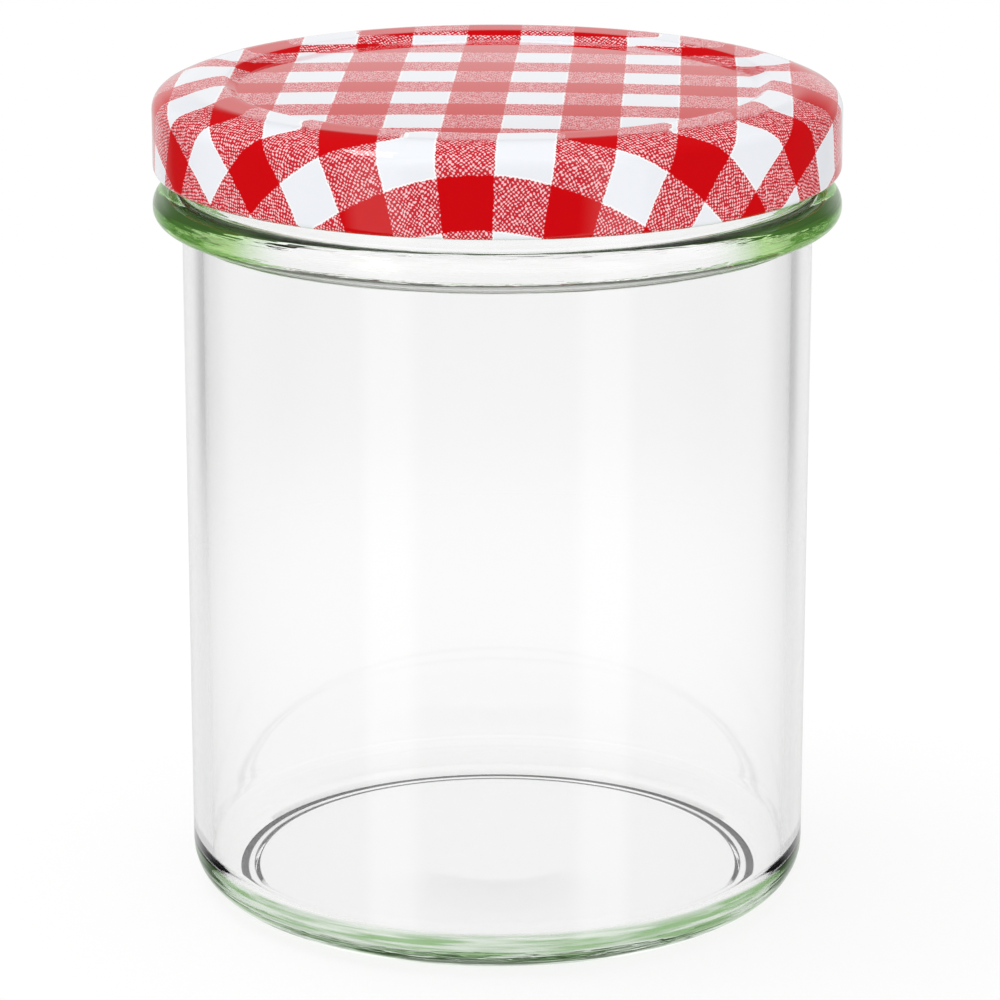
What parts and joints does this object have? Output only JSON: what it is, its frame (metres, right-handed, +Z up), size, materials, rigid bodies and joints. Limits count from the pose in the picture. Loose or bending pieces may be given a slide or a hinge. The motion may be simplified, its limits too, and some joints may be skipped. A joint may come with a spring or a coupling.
{
  "type": "canning jar",
  "caption": "Straight-sided clear glass preserving jar with a bead at its neck, closed by a twist-off tinplate lid in a red and white check",
  "frame": {"origin": "centre of the ring that the jar stands on", "axes": "+Z up along the jar's axis, -Y towards the viewer"},
  "size_m": [0.0856, 0.0856, 0.1036],
  "materials": {
    "glass": "gloss",
    "lid_print": "gloss",
    "sealing_compound": "satin"
  },
  "bodies": {
    "root": {"glass_jar": "glass", "twist_off_lid": "lid_print", "sealing_ring": "sealing_compound"}
  },
  "joints": []
}
